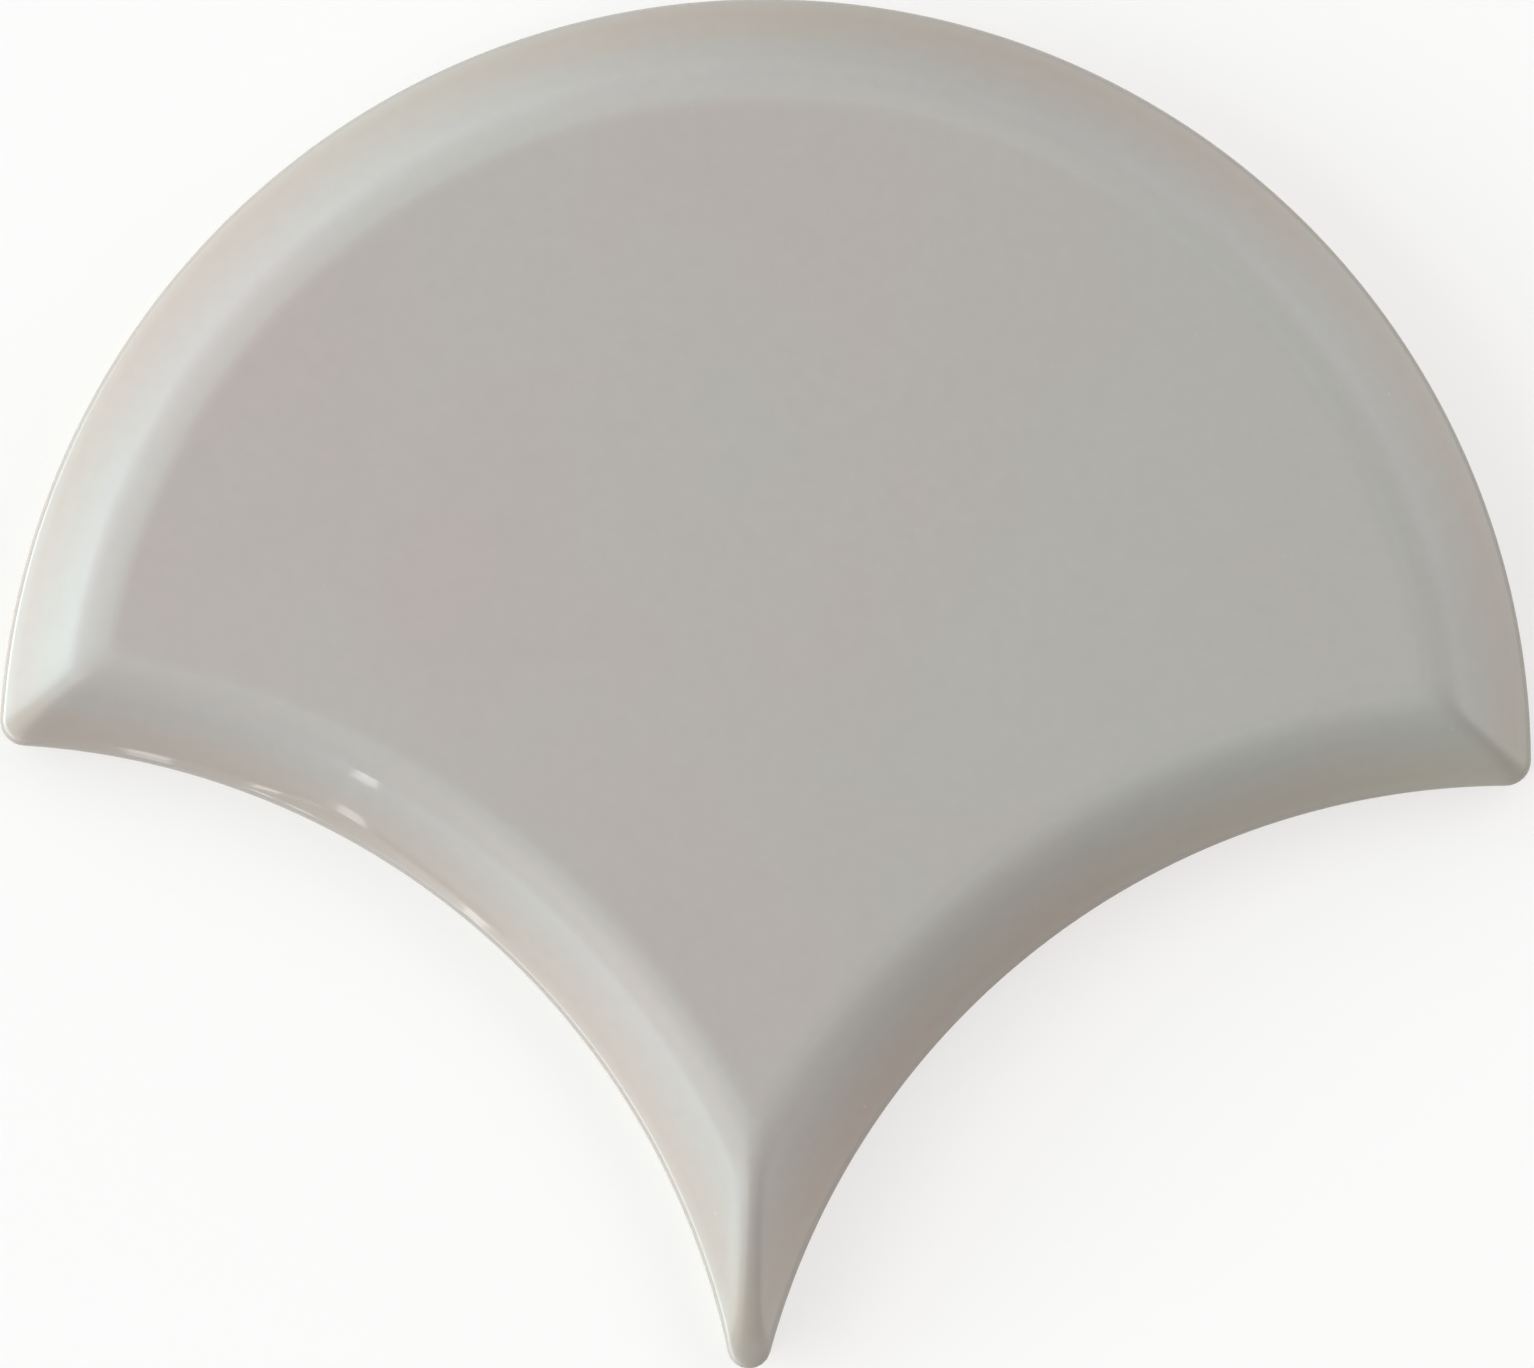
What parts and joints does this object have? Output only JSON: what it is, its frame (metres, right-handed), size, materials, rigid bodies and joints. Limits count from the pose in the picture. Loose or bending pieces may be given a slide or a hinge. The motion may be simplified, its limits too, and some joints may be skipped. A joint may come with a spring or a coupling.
{
  "type": "fish-scale ceramic tile",
  "caption": "Fish-scale ceramic wall tile: round top, hollow sides drawn in to a blunt point, flat glazed face inside a wide sloped rim, flat back.",
  "frame": {"origin": "middle of the bounding box, on the flat back face", "axes": "+X across the tile to its right corner, +Y towards the round top with the point towards -Y, +Z out of the glazed face"},
  "size_m": [0.15, 0.134, 0.01],
  "materials": {
    "glaze": "gloss"
  },
  "bodies": {
    "root": {"tile": "glaze"}
  },
  "joints": []
}
